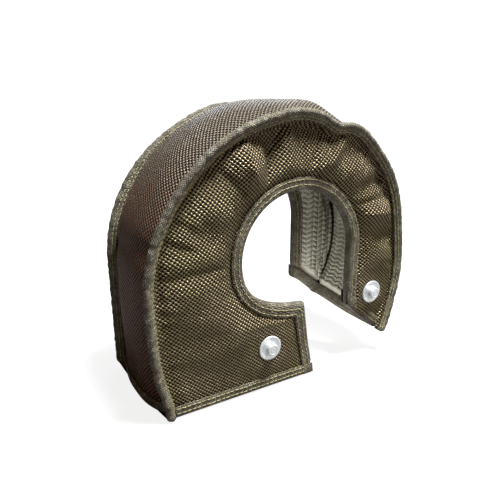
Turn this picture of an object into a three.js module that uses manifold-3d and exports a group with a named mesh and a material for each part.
// Turbo heat blanket: a C-shaped padded jacket that wraps a turbine housing. Sizes are in millimetres.
// A front panel, a rear panel and a curved band are each a sandwich of woven cloth, fibre mat and
// knitted lining. Folded bindings close their edges, and riveted studs take the closing springs.
// While it is shaped, +X points from the foot to the free leg, +Z is up and the arch axis is Y = 0.
import * as THREE from "three";
import { mergeVertices } from "three/addons/utils/BufferGeometryUtils.js";
import Module from "manifold-3d";

const wasm = await Module();
wasm.setup();

// Overall outline, measured at the tips of the two seam ridges
const archRadius = 95;
const ridgeHalfWidth = 39.5;
const footDrop = 77; // from the arch axis down to the floor
const shoulderDrop = 28; // where the foot turns into the arch
const legCutAngle = THREE.MathUtils.degToRad(38.8); // free leg's end, below the horizontal

// Openings of the two panels
const frontOpening = {
  centre: new THREE.Vector2(3.6, 9),
  radius: 40,
  footToe: 16.9, // foot's side edge at the floor
  footCorner: new THREE.Vector2(9.3, -24.6),
  footDip: new THREE.Vector2(-29.3, -21.8),
  legShift: 1.4,
  footStud: new THREE.Vector2(-27.8, -24), // from the foot's corner
  legStud: { share: 0.297, inset: 18.3 }, // along the leg's cut, and in from it
};
const rearOpening = {
  centre: new THREE.Vector2(5.7, 13.3),
  radius: 42.4,
  footToe: 12,
  footCorner: new THREE.Vector2(2, -28.5),
  footDip: new THREE.Vector2(-28, -23),
  legShift: -0.2,
  footStud: new THREE.Vector2(-21.3, -20.3),
  legStud: { share: 0.243, inset: 21.1 },
};

// Layers
const clothThickness = 0.9;
const liningThickness = 1.5;
const ribDepth = 1.1;
const matPinch = 1.6; // mat thickness where a binding squeezes it
const matEase = 0.6; // the mat stays this much further below the puffed cloth
const gap = 0.3;

// Levels of a panel, outward from the middle of the band
const hemLevel = 36; // cloth face under a binding
const puff = 4.6; // how far the cloth bulges above its hem
const cavityHalfWidth = 28.4; // lining face inside the jacket
const bandReach = cavityHalfWidth - ribDepth; // mat and lining of the band meet the panels' linings here

// Levels of the band, outward from the arch radius
const crownTop = 6.2; // over the top of the arch
const crownLeg = 0.6; // on the straight leg
const bandHemLevel = -1.2;
const bandCavityLevel = -11.2; // lining face inside the jacket

// Bindings and seam ridges
const bindingThickness = 0.8;
const bindingWidth = 8;
const ridgeHeight = 7.5;
const ridgeSink = 0.8; // the binding's legs start this far up the ridge
const leanAtFoot = THREE.MathUtils.degToRad(56); // front ridge, from radial towards the front
const leanAtLegEnd = THREE.MathUtils.degToRad(16);
const leanRear = THREE.MathUtils.degToRad(30);

// Riveted studs
const studPlateau = 24; // the cloth is drawn flat this far around a stud
const washerRadius = 8;
const washerThickness = 0.9;
const washerSeatLevel = 38;
const washerClearance = 0.1;
const anchorRadius = 6;
const anchorThickness = 0.8;
const anchorLevel = cavityHalfWidth + liningThickness + 2.1;
const postRadius = 2.2;
const headRadius = 3.8;
const headHeight = 3.6;
const neckRadius = 3;
const rivetSides = 12;

// Rings of every layer: three measured from each cut end for its hem, the rest as shares of a stretch
const hemRings = [bindingThickness + gap, bindingWidth + 1, bindingWidth + 5];
const footShares = [0.46, 0.72];
const shoulderShares = [0, 0.35, 0.7];
const archRings = 30;
const legShares = [0, 0.3, 0.58];
const puffRun = 34; // the cloth reaches its full puff this far from a hem

const legBottom = new THREE.Vector2(Math.cos(legCutAngle), -Math.sin(legCutAngle)).multiplyScalar(archRadius);

// The outer outline in four stretches: foot, shoulder, arch and free leg
const outerCurves = [
  new THREE.LineCurve(new THREE.Vector2(-archRadius, -footDrop), new THREE.Vector2(-archRadius, -shoulderDrop)),
  new THREE.LineCurve(new THREE.Vector2(-archRadius, -shoulderDrop), new THREE.Vector2(-archRadius, 0)),
  new THREE.EllipseCurve(0, 0, archRadius, archRadius, Math.PI, 0, true),
  new THREE.EllipseCurve(0, 0, archRadius, archRadius, 0, -legCutAngle, true),
];
const outerLengths = outerCurves.map((curve) => curve.getLength());
const archStart = outerLengths[0] + outerLengths[1];
const outerLength = archStart + outerLengths[2] + outerLengths[3];
const alongAtAngle = (degrees) => archStart + THREE.MathUtils.degToRad(180 - degrees) * archRadius;

// Where a seam ridge swells or sinks from the plain outline: place along it, half width and rise
const frontDrift = [
  { at: 0, spread: 24, rise: -7 },
  { at: archStart, spread: 36, rise: 2.2 },
  { at: alongAtAngle(90), spread: 14, rise: 1.2 },
  { at: alongAtAngle(72), spread: 9, rise: -3.2 },
  { at: alongAtAngle(60), spread: 14, rise: 1.8 },
  { at: alongAtAngle(8), spread: 34, rise: -4.6 },
  { at: outerLength, spread: 20, rise: 5.4 },
];
const rearDrift = [
  { at: alongAtAngle(96), spread: 26, rise: 3.4 },
  { at: alongAtAngle(20), spread: 30, rise: -1.5 },
  { at: outerLength, spread: 20, rise: 3.2 },
];

// Radial folds where the flat panel cloth is gathered into the curved seam
const frontFolds = [
  { at: alongAtAngle(152), spread: 11, rise: -2.4 },
  { at: alongAtAngle(128), spread: 12, rise: 1.5 },
  { at: alongAtAngle(104), spread: 9, rise: -3.2 },
  { at: alongAtAngle(88), spread: 10, rise: 1.8 },
  { at: alongAtAngle(73), spread: 8, rise: -3.4 },
  { at: alongAtAngle(55), spread: 11, rise: 1.8 },
  { at: alongAtAngle(37), spread: 8, rise: -3 },
  { at: alongAtAngle(22), spread: 9, rise: 1.6 },
  { at: alongAtAngle(7), spread: 8, rise: -2.8 },
];
const rearFolds = [
  { at: alongAtAngle(160), spread: 11, rise: -2.4 },
  { at: alongAtAngle(135), spread: 10, rise: -3 },
  { at: alongAtAngle(112), spread: 12, rise: 1.7 },
  { at: alongAtAngle(90), spread: 9, rise: -3.2 },
  { at: alongAtAngle(68), spread: 11, rise: 1.6 },
  { at: alongAtAngle(47), spread: 9, rise: -3 },
  { at: alongAtAngle(18), spread: 9, rise: -2.6 },
];

const swell = (bumps, along) => bumps.reduce((sum, b) => sum + b.rise * Math.exp(-(((along - b.at) / b.spread) ** 2)), 0);
const smooth = (t) => THREE.MathUtils.smoothstep(t, 0, 1);

// The opening's edge in the same four stretches, moved into the panel by an inset
function openingCurves(opening, inset) {
  const { centre, radius, footToe, footCorner, footDip, legShift } = opening;
  const r = radius + inset;
  const arcStart = THREE.MathUtils.degToRad(195);
  const toe = new THREE.Vector2(footToe - inset, -footDrop);
  const corner = new THREE.Vector2(footCorner.x - inset, footCorner.y - inset);
  const dip = new THREE.Vector2(footDip.x - inset * 0.4, footDip.y - inset);
  const arcEnd = new THREE.Vector2(centre.x + r, centre.y);
  const joint = new THREE.Vector2(centre.x + r * Math.cos(arcStart), centre.y + r * Math.sin(arcStart));
  const legX = arcEnd.x + legShift;
  const legEnd = new THREE.Vector2(legX, legCutHeight(legX, opening));
  return [
    new THREE.LineCurve(toe, corner),
    new THREE.QuadraticBezierCurve(corner, dip, joint),
    new THREE.EllipseCurve(centre.x, centre.y, r, r, arcStart, 0, true),
    new THREE.LineCurve(arcEnd, legEnd),
  ];
}

// Where the free leg's cut meets the opening, and the cut's height further out
const legCutSlope = -0.774;

function legCutCorner({ centre, radius, legShift }) {
  const x = centre.x + radius + legShift;
  return new THREE.Vector2(x, x * legCutSlope);
}

function legCutHeight(x, opening) {
  const corner = legCutCorner(opening);
  return THREE.MathUtils.mapLinear(x, corner.x, legBottom.x, corner.y, legBottom.y);
}

function studSpots(opening) {
  const { footCorner, footStud, legStud } = opening;
  const leg = legCutCorner(opening);
  const cut = legBottom.clone().sub(leg);
  const inward = new THREE.Vector2(-cut.y, cut.x).normalize();
  leg.addScaledVector(cut, legStud.share).addScaledVector(inward, legStud.inset);
  return { foot: footCorner.clone().add(footStud), leg };
}

function place(s) {
  s.point = outerCurves[s.stretch].getPoint(s.fraction);
  s.normal = s.stretch < 2 ? new THREE.Vector2(-1, 0) : s.point.clone().normalize();
  s.along = outerLengths.slice(0, s.stretch).reduce((sum, length) => sum + length, s.fraction * outerLengths[s.stretch]);
  const fromHem = Math.min(s.along, outerLength - s.along) - bindingWidth;
  s.free = fromHem > 1.5 ? 1 : 0;
  s.rise = smooth(fromHem / puffRun);
  return s;
}

function makeStations() {
  const shares = (stretch, list) => list.map((fraction) => ({ stretch, fraction }));
  const fromFoot = hemRings.map((cut) => ({ stretch: 0, fraction: cut / outerLengths[0], cut }));
  const fromLeg = hemRings.map((cut) => ({ stretch: 3, fraction: 1 - cut / outerLengths[3], cut }));
  const archShares = Array.from({ length: archRings }, (_, i) => i / archRings);
  return [
    ...fromFoot,
    ...shares(0, footShares),
    ...shares(1, shoulderShares),
    ...shares(2, archShares),
    ...shares(3, legShares),
    ...fromLeg.reverse(),
  ].map(place);
}
const stations = makeStations();
const footEnd = place({ stretch: 0, fraction: 0 });
const legEnd = place({ stretch: 3, fraction: 1 });

// Every second ring of the arch and all of the others, for layers that show less
const sparse = stations.filter((s, i) => s.stretch !== 2 || i % 2 === 0);

// Lowest value that a function takes at a ring and at its two neighbours, so that a sparse layer stays under
function lowestNear(station, value) {
  const i = stations.indexOf(station);
  return Math.min(...stations.slice(Math.max(0, i - 1), i + 2).map(value));
}

// One side of the jacket: which way it faces, its opening and the drift and folds of its cloth
const front = { facing: -1, opening: frontOpening, drift: frontDrift, folds: frontFolds };
const rear = { facing: 1, opening: rearOpening, drift: rearDrift, folds: rearFolds };
for (const side of [front, rear]) {
  side.studs = studSpots(side.opening);
  side.edgeCurves = openingCurves(side.opening, bindingThickness + gap);
  side.hemCurves = openingCurves(side.opening, hemRings[1]);
}

// The ridge at a station: tip and base as (outward from the arch, outward from the middle)
function ridgeAt(side, along) {
  const lean =
    side === front ? THREE.MathUtils.lerp(leanAtFoot, leanAtLegEnd, along / outerLength) : leanRear;
  const up = new THREE.Vector2(Math.cos(lean), Math.sin(lean));
  const across = new THREE.Vector2(-up.y, up.x);
  const tip = new THREE.Vector2(swell(side.drift, along), ridgeHalfWidth);
  const base = tip.clone().addScaledVector(up, -ridgeHeight);
  const at = (height, offset) => base.clone().addScaledVector(up, height).addScaledVector(across, offset);
  return { base, at };
}

// A ring's point on the opening's edge. Hem rings keep their distance from the cut end.
function edgePoint(curves, station) {
  const curve = curves[station.stretch];
  if (station.cut === undefined) return curve.getPoint(station.fraction);
  const [end, far] = station.stretch === 0 ? [curve.v1, curve.v2] : [curve.v2, curve.v1];
  const along = far.clone().sub(end).normalize();
  const cutLine = station.stretch === 0 ? new THREE.Vector2(1, 0) : legBottom.clone().sub(end).normalize();
  return end.clone().addScaledVector(along, station.cut / Math.abs(along.cross(cutLine)));
}

const pointOn = (plan, level, side) => new THREE.Vector3(plan.x, side.facing * level, plan.y);
const offPath = (station, outward) => station.point.clone().addScaledVector(station.normal, outward);

// Cloth level across a panel: u runs from the hem to the seam
function clothLevel(side, station, u, plan) {
  const seam = THREE.MathUtils.lerp(hemLevel, ridgeAt(side, station.along).base.y + 1, station.rise);
  const bulge = puff * Math.sin(Math.PI * Math.min(1, u * 1.04)) ** 0.7;
  const fold = swell(side.folds, station.along) * smooth(u * 1.6) * smooth((1.15 - u) * 3);
  const plain = THREE.MathUtils.lerp(hemLevel, seam, smooth((u - 0.4) / 0.55)) + (bulge + fold) * station.rise;
  const fromStud = Math.min(...Object.values(side.studs).map((spot) => plan.distanceTo(spot)));
  const pressed = 1 - smooth((fromStud - studPlateau) / 14);
  return THREE.MathUtils.lerp(plain, washerSeatLevel, pressed * station.free);
}

// Plan points and levels of the cloth's outer face, from the opening's edge over the hem to the seam
const clothShares = [0, 0.25, 0.5, 0.75, 0.95];

function clothRow(side, station) {
  const seamPlan = offPath(station, ridgeAt(side, station.along).base.x);
  const hemPlan = edgePoint(side.hemCurves, station);
  const plans = [edgePoint(side.edgeCurves, station), ...clothShares.map((u) => hemPlan.clone().lerp(seamPlan, u))];
  const levels = plans.map((plan, i) => (i < 2 ? hemLevel : clothLevel(side, station, clothShares[i - 1], plan)));
  return { plans, levels };
}

// A closed solid lofted through rings of points, with flat ends
function loft(rings) {
  const count = rings[0].length;
  const last = (rings.length - 1) * count;
  const triangles = capOf(rings[0]).map(([a, b, c]) => [c, b, a]);
  triangles.push(...capOf(rings.at(-1)).map((t) => t.map((k) => k + last)));
  const points = rings.flat();
  for (let a = 0; a < last; a++) {
    const b = a % count === count - 1 ? a + 1 - count : a + 1;
    const [nextA, nextB] = [a + count, b + count];
    const across = points[a].distanceTo(points[nextB]) < points[b].distanceTo(points[nextA]);
    triangles.push(...(across ? [[a, b, nextB], [a, nextB, nextA]] : [[a, b, nextA], [b, nextB, nextA]]));
  }
  const vertProperties = new Float32Array(points.flatMap((p) => [p.x, p.y, p.z]));
  const solid = new wasm.Manifold(
    new wasm.Mesh({ numProp: 3, vertProperties, triVerts: new Uint32Array(triangles.flat()) }),
  );
  return solid.volume() > 0 ? solid : loft(rings.toReversed());
}

// Triangles that fill one flat ring, in the ring's own order
function capOf(ring) {
  const normal = new THREE.Vector3();
  ring.forEach((p, i) => normal.add(new THREE.Vector3().crossVectors(p, ring[(i + 1) % ring.length])));
  normal.normalize();
  const side = new THREE.Vector3().subVectors(ring[1], ring[0]).normalize();
  const up = new THREE.Vector3().crossVectors(normal, side);
  const flat = ring.map((p) => new THREE.Vector2(p.dot(side), p.dot(up)));
  return THREE.ShapeUtils.triangulateShape(flat, []);
}

// A closed three.js geometry as a solid, and back
function toSolid(geometry) {
  const plain = geometry.clone();
  plain.deleteAttribute("normal");
  plain.deleteAttribute("uv");
  const merged = mergeVertices(plain, 1e-4);
  return new wasm.Manifold(
    new wasm.Mesh({
      numProp: 3,
      vertProperties: new Float32Array(merged.attributes.position.array),
      triVerts: new Uint32Array(merged.index.array),
    }),
  );
}

function toGeometry(solid) {
  const mesh = solid.getMesh();
  return new THREE.BufferGeometry()
    .setAttribute("position", new THREE.BufferAttribute(mesh.vertProperties, 3))
    .setIndex(new THREE.BufferAttribute(mesh.triVerts, 1));
}

// A turned piece on a rivet's axis, from a profile of (radius, level)
function turned(profile, spot, side) {
  const geometry = new THREE.LatheGeometry(profile.map(([r, level]) => new THREE.Vector2(r, level)), rivetSides);
  if (side.facing < 0) geometry.rotateX(Math.PI);
  geometry.translate(spot.x, 0, spot.y);
  return toSolid(geometry);
}

// Lip of a cloth turned out along the ridge, on the panel's side (1) or the band's side (-1) of the seam
const lipHeight = ridgeHeight - bindingThickness - 2 * gap;

function lip(side, station, seamSide) {
  const ridge = ridgeAt(side, station.along);
  const near = seamSide * (gap / 2);
  const far = seamSide * (gap / 2 + clothThickness);
  return [[0, far], [lipHeight, far], [lipHeight, near], [0, near]].map(([height, offset]) => {
    const p = ridge.at(height, offset);
    return pointOn(offPath(station, p.x), p.y, side);
  });
}

function clothPanel(side) {
  return loft(
    stations.map((s) => {
      const { plans, levels } = clothRow(side, s);
      const outside = plans.map((plan, i) => pointOn(plan, levels[i], side));
      const inside = plans.map((plan, i) => pointOn(plan, levels[i] - clothThickness, side));
      return [...outside, ...lip(side, s, 1), ...inside.reverse()];
    }),
  );
}

// Mat of a panel: thick in the middle and squeezed at its hems
function matPanel(side) {
  return loft(
    sparse.map((s) => {
      const { plans } = clothRow(side, s);
      const tops = plans.map((_, i) => {
        const ease = s.free && i > 1 ? matEase : 0;
        return lowestNear(s, (near) => clothRow(side, near).levels[i]) - clothThickness - gap - ease;
      });
      const bottom = (i) => (i < 2 || !s.free ? tops[i] - matPinch : cavityHalfWidth + liningThickness + gap);
      const outside = plans.map((plan, i) => pointOn(plan, tops[i], side));
      const inside = plans.map((plan, i) => pointOn(plan, bottom(i), side));
      return [...outside, ...inside.reverse()];
    }),
  );
}

// Knitted lining of a panel, with ribs on the face inside the jacket
const hemStack = clothThickness + gap + matPinch + gap + liningThickness;

function liningPanel(side) {
  return loft(
    sparse.map((s) => {
      const { plans } = clothRow(side, s);
      const lows = plans.map((_, i) => {
        const hemLow = lowestNear(s, (near) => clothRow(side, near).levels[i]) - hemStack;
        return i < 2 || !s.free ? hemLow : cavityHalfWidth;
      });
      const outside = plans.map((plan, i) => pointOn(plan, lows[i] + liningThickness, side));
      const inside = plans.flatMap((plan, i) => {
        const here = pointOn(plan, lows[i], side);
        if (i < 2) return [here];
        const between = plans[i - 1].clone().lerp(plan, 0.5);
        return [pointOn(between, (lows[i - 1] + lows[i]) / 2 - ribDepth * s.free, side), here];
      });
      return [...outside, ...inside.reverse()];
    }),
  );
}

// Band level across its width, from the front seam to the rear seam
function bandLevel(station, y) {
  const [frontBase, rearBase] = [front, rear].map((side) => ridgeAt(side, station.along).base);
  const t = THREE.MathUtils.mapLinear(y, -frontBase.y, rearBase.y, 0, 1);
  const seamLine = THREE.MathUtils.lerp(frontBase.x, rearBase.x, smooth(t)) - 1;
  const top = (crownTop - crownLeg) * Math.exp(-(((station.along - alongAtAngle(88)) / 95) ** 2));
  const crown = THREE.MathUtils.lerp(bandHemLevel, crownLeg + top, station.rise);
  return THREE.MathUtils.lerp(seamLine, crown, 1 - Math.abs(2 * t - 1) ** 2.6);
}

const bandLines = [-bandReach, -16, 0, 16, bandReach];

function bandPoint(station, y, level) {
  const plan = offPath(station, level);
  return new THREE.Vector3(plan.x, y, plan.y);
}

function bandCloth() {
  return loft(
    stations.map((s) => {
      const across = (depth) => bandLines.map((y) => bandPoint(s, y, bandLevel(s, y) - depth));
      const frontLip = lip(front, s, -1);
      const rearLip = lip(rear, s, -1).reverse();
      return [...frontLip.reverse(), ...across(0), ...rearLip.reverse(), ...across(clothThickness).reverse()];
    }),
  );
}

// Mat and lining of the band end against the panels' linings
function bandMat() {
  return loft(
    sparse.map((s) => {
      const top = (y) => lowestNear(s, (near) => bandLevel(near, y)) - clothThickness - gap;
      const low = (y) => (s.free ? bandCavityLevel + liningThickness + gap : top(y) - matPinch);
      const outside = bandLines.map((y) => bandPoint(s, y, top(y)));
      const inside = bandLines.map((y) => bandPoint(s, y, low(y)));
      return [...outside, ...inside.reverse()];
    }),
  );
}

const bandRibs = 4;
const bandHemStack = hemStack + gap;

function bandLining() {
  return loft(
    sparse.map((s) => {
      const hemLow = (y) => lowestNear(s, (near) => bandLevel(near, y)) - bandHemStack;
      const low = (y) => (s.free ? bandCavityLevel : hemLow(y));
      const outside = bandLines.map((y) => bandPoint(s, y, low(y) + liningThickness));
      const inside = Array.from({ length: 2 * bandRibs + 1 }, (_, i) => {
        const y = THREE.MathUtils.mapLinear(i, 0, 2 * bandRibs, -bandReach, bandReach);
        return bandPoint(s, y, low(y) - (i % 2) * ribDepth * s.free);
      });
      return [...outside, ...inside.reverse()];
    }),
  );
}

// Binding folded over a seam ridge, as (height up the ridge, offset across it)
const seamFold = gap / 2 + clothThickness + gap;
const seamOuter = seamFold + bindingThickness;
const seamSection = [
  [ridgeSink, seamFold],
  [ridgeSink, seamOuter],
  [ridgeHeight - 0.9, seamOuter],
  [ridgeHeight, 0],
  [ridgeHeight - 0.9, -seamOuter],
  [ridgeSink, -seamOuter],
  [ridgeSink, -seamFold],
  [lipHeight + gap, -seamFold],
  [lipHeight + gap, seamFold],
];

function seamBinding(side) {
  return loft(
    [footEnd, ...stations.slice(1, -1), legEnd].map((s) => {
      const ridge = ridgeAt(side, s.along);
      return seamSection.map(([height, offset]) => {
        const p = ridge.at(height, offset);
        return pointOn(offPath(s, p.x), p.y, side);
      });
    }),
  );
}

// Binding folded over a hem's stack, as (distance in from the edge, level above the cloth's face)
function hemSection(stack) {
  const top = gap + bindingThickness;
  const bottom = -stack - gap - bindingThickness;
  return [
    [bindingWidth, gap],
    [bindingWidth, top],
    [1.2, top],
    [0, top - 1.5],
    [0, bottom + 1.5],
    [1.2, bottom],
    [bindingWidth, bottom],
    [bindingWidth, bottom + bindingThickness],
    [bindingThickness, bottom + bindingThickness],
    [bindingThickness, gap],
  ];
}
const panelHem = hemSection(hemStack);
const bandHem = hemSection(bandHemStack + gap);

// Binding along a panel's opening, between the bindings of the foot and of the leg's end
function openingBinding(side) {
  const insets = [...new Set(panelHem.map(([inset]) => inset))];
  const curves = new Map(insets.map((inset) => [inset, openingCurves(side.opening, inset)]));
  const rings = sparse.slice(1, -1);
  return loft(
    rings.map((s) => panelHem.map(([inset, rise]) => pointOn(edgePoint(curves.get(inset), s), hemLevel + rise, side))),
  );
}

// Binding over a panel's cut end, from the opening to the seam
function endBinding(side, hem) {
  const atFoot = hem.stretch === 0;
  const edge = openingCurves(side.opening, 0)[hem.stretch];
  const corner = atFoot ? edge.v1 : edge.v2;
  const cutLine = (atFoot ? footEnd : legEnd).point.clone().sub(corner).normalize();
  const inward = new THREE.Vector2(-cutLine.y, cutLine.x);
  if (inward.y < 0) inward.negate();
  const { plans, levels } = clothRow(side, hem);
  const seamPlan = offPath(hem, ridgeAt(side, hem.along).base.x);
  plans.splice(-1, 1, seamPlan.addScaledVector(cutLine, -seamOuter - 3 * gap));
  const onCut = plans.map((plan) => corner.clone().addScaledVector(cutLine, plan.clone().sub(corner).dot(cutLine)));
  return loft(
    [corner, ...onCut.slice(1)].map((plan, i) =>
      panelHem.map(([inset, rise]) => pointOn(plan.clone().addScaledVector(inward, inset), levels[i] + rise, side)),
    ),
  );
}

// Binding over one end of the band, following the two hem rings beside it
function bandEndBinding(end, hem, nextHem) {
  const inward = nextHem.point.clone().sub(hem.point).normalize();
  return loft(
    bandLines.map((y) =>
      bandHem.map(([inset, rise]) => {
        const slope = (inset - hem.cut) / (nextHem.cut - hem.cut);
        const level = THREE.MathUtils.lerp(bandLevel(hem, y), bandLevel(nextHem, y), slope);
        const plan = offPath(end, level + rise);
        plan.addScaledVector(inward, inset);
        return new THREE.Vector3(plan.x, y, plan.y);
      }),
    ),
  );
}

// Stud: an anchor plate and post behind the mat, a washer on the cloth and a cap closed over the post
const washerBottom = washerSeatLevel + washerClearance;
const washerTop = washerBottom + washerThickness;
const boreDepth = 2.5;

function anchor(spot, side) {
  const plateTop = anchorLevel + anchorThickness;
  const postTop = washerTop + boreDepth - gap;
  const profile = [
    [0, anchorLevel],
    [anchorRadius, anchorLevel],
    [anchorRadius, plateTop],
    [postRadius, plateTop],
    [postRadius, postTop],
    [0, postTop],
  ];
  return turned(profile, spot, side);
}

function washer(spot, side) {
  const profile = [
    [postRadius + gap, washerBottom],
    [washerRadius, washerBottom],
    [washerRadius, washerTop - 0.3],
    [washerRadius - 1, washerTop],
    [postRadius + gap, washerTop],
    [postRadius + gap, washerBottom],
  ];
  return turned(profile, spot, side);
}

function cap(spot, side) {
  const bore = postRadius + 0.2;
  const top = washerTop + headHeight;
  const profile = [
    [bore, washerTop + gap],
    [neckRadius, washerTop + gap],
    [neckRadius, washerTop + headHeight / 2],
    [headRadius, washerTop + headHeight / 2 + 0.5],
    [headRadius, top - 0.5],
    [headRadius - 0.5, top],
    [0, top],
    [0, washerTop + boreDepth],
    [bore, washerTop + boreDepth],
    [bore, washerTop + gap],
  ];
  return turned(profile, spot, side);
}

const pierce = (spot, side, radius, from, to) => turned([[0, from], [radius, from], [radius, to], [0, to]], spot, side);

const blanket = new THREE.Group();

const finishes = {
  cloth: { color: 0x4a4030, roughness: 0.62, metalness: 0.1 },
  binding: { color: 0x6b6656, roughness: 0.75, metalness: 0.05 },
  lining: { color: 0x7b7c6c, roughness: 0.95, metalness: 0 },
  mat: { color: 0xd8d4c8, roughness: 1, metalness: 0 },
  steel: { color: 0xc6cacd, roughness: 0.35, metalness: 0.85 },
};
const materials = Object.fromEntries(
  Object.entries(finishes).map(([name, finish]) => [name, new THREE.MeshStandardMaterial(finish)]),
);

function add(name, solid, finish) {
  const mesh = new THREE.Mesh(toGeometry(solid), materials[finish]);
  mesh.geometry.computeVertexNormals();
  mesh.name = name;
  blanket.add(mesh);
}

for (const [sideName, side] of Object.entries({ front, rear })) {
  let cloth = clothPanel(side);
  let mat = matPanel(side);
  for (const [spotName, spot] of Object.entries(side.studs)) {
    const stud = `${sideName}_${spotName}_stud`;
    const hole = pierce(spot, side, postRadius + gap, cavityHalfWidth, ridgeHalfWidth + puff);
    const seat = pierce(spot, side, anchorRadius + gap, anchorLevel - gap, anchorLevel + anchorThickness + gap);
    cloth = cloth.subtract(hole);
    mat = mat.subtract(hole).subtract(seat);
    add(`${stud}_anchor`, anchor(spot, side), "steel");
    add(`${stud}_washer`, washer(spot, side), "steel");
    add(`${stud}_cap`, cap(spot, side), "steel");
  }
  add(`${sideName}_panel_cloth`, cloth, "cloth");
  add(`${sideName}_panel_mat`, mat, "mat");
  add(`${sideName}_panel_lining`, liningPanel(side), "lining");
  add(`${sideName}_seam_binding`, seamBinding(side), "binding");
  add(`${sideName}_opening_binding`, openingBinding(side), "binding");
  add(`${sideName}_foot_binding`, endBinding(side, stations[0]), "binding");
  add(`${sideName}_leg_binding`, endBinding(side, stations.at(-1)), "binding");
}
add("band_cloth", bandCloth(), "cloth");
add("band_mat", bandMat(), "mat");
add("band_lining", bandLining(), "lining");
add("band_foot_binding", bandEndBinding(footEnd, stations[0], stations[1]), "binding");
add("band_leg_binding", bandEndBinding(legEnd, stations.at(-1), stations.at(-2)), "binding");

// The finished part stands on the floor with its box centred on the origin
const box = new THREE.Box3().setFromObject(blanket);
const centre = box.getCenter(new THREE.Vector3());
blanket.position.set(-centre.x, -centre.y, -box.min.z);

export default blanket;
